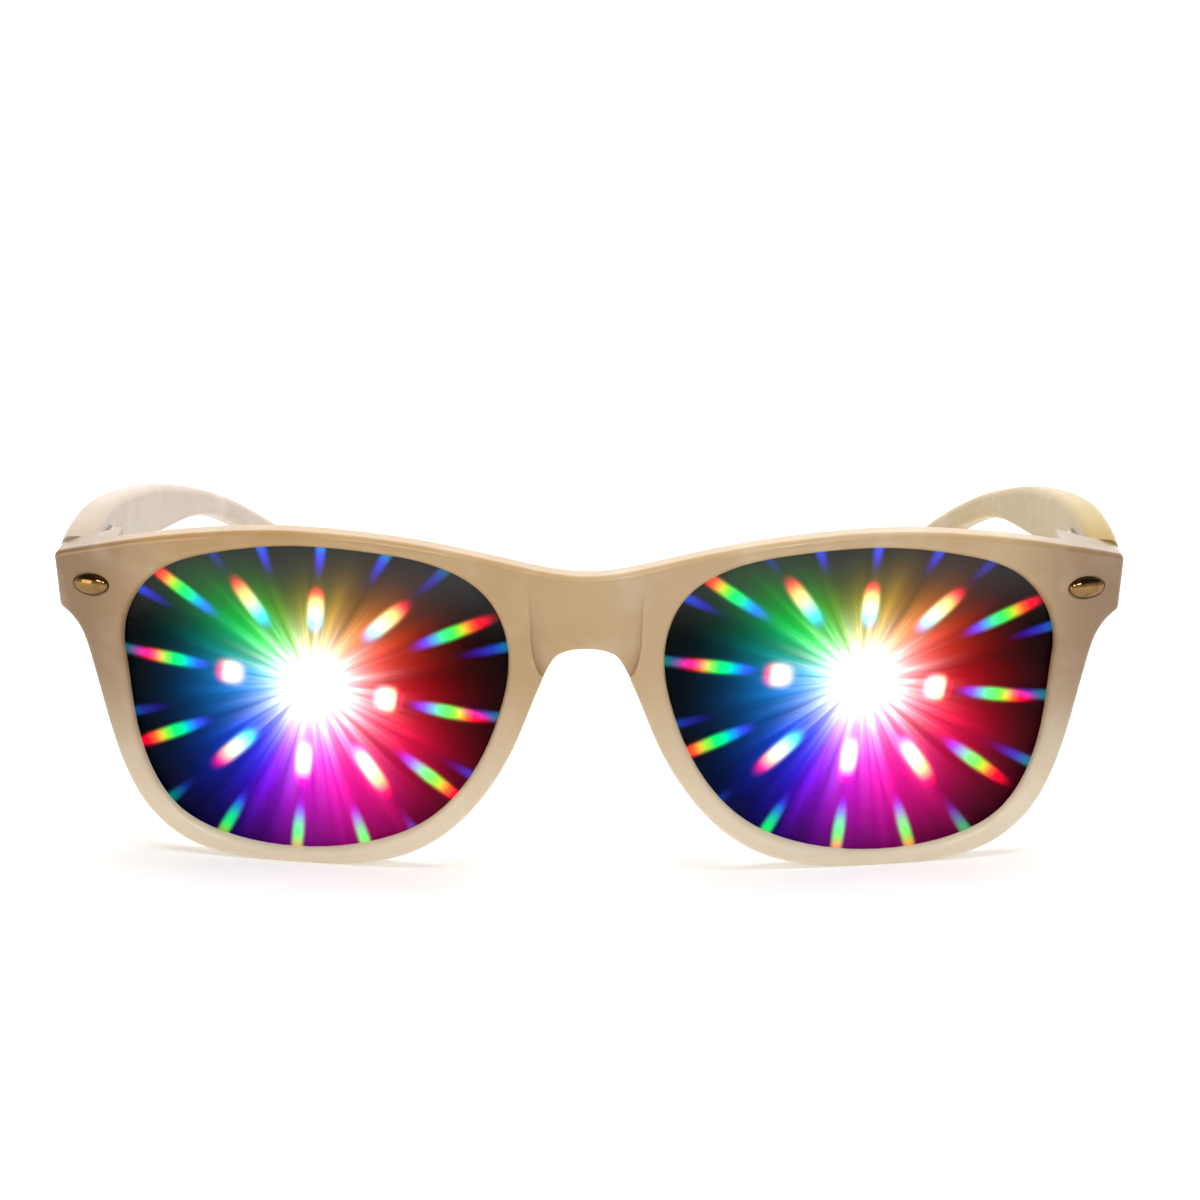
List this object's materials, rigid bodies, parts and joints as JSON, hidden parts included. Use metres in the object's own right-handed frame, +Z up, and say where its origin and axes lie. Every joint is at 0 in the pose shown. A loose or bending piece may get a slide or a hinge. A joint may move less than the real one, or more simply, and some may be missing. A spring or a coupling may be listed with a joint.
{
  "type": "diffraction glasses",
  "caption": "Square-eyed glasses with a thick moulded frame, oval studs, folding curved temples and grating-film lenses that spread each light into a star of small spectra.",
  "frame": {"origin": "on the table, in the middle of the part's length and width, where it stands open on the bottoms of its rims and the tips of its temples", "axes": "+X to the wearer's left, -Y the way the wearer looks, +Z up from the table"},
  "size_m": [0.1478, 0.1428, 0.0474],
  "materials": {
    "frame_plastic": "moulded cream plastic, softly glossy",
    "temple_plastic": "moulded cream plastic, softly glossy",
    "clear_sheet": "clear polished sheet",
    "grating": "film with crossed fine grooves that shows bursts of colour",
    "stud_metal": "polished",
    "hinge_metal": "stamped and brushed",
    "screw_metal": "turned, slotted head"
  },
  "bodies": {
    "front": {"front_frame": "frame_plastic", "left_lens_front_sheet": "clear_sheet", "left_grating_film": "grating", "left_lens_rear_sheet": "clear_sheet", "left_front_stud": "stud_metal", "left_front_hinge_leaf": "hinge_metal", "left_hinge_screw": "screw_metal", "right_lens_front_sheet": "clear_sheet", "right_grating_film": "grating", "right_lens_rear_sheet": "clear_sheet", "right_front_stud": "stud_metal", "right_front_hinge_leaf": "hinge_metal", "right_hinge_screw": "screw_metal"},
    "left_temple_arm": {"left_temple": "temple_plastic", "left_temple_hinge_leaf": "hinge_metal", "left_temple_stud": "stud_metal"},
    "right_temple_arm": {"right_temple": "temple_plastic", "right_temple_hinge_leaf": "hinge_metal", "right_temple_stud": "stud_metal"}
  },
  "joints": [
    {"name": "left_temple_fold", "type": "hinge", "parent": "front", "child": "left_temple_arm", "pos_m": [0.0668, -0.05209, 0.03892], "axis": [0, 0, 1], "range_deg": [0, 86]},
    {"name": "right_temple_fold", "type": "hinge", "parent": "front", "child": "right_temple_arm", "pos_m": [-0.0668, -0.05209, 0.03892], "axis": [0, 0, -1], "range_deg": [0, 80]}
  ]
}
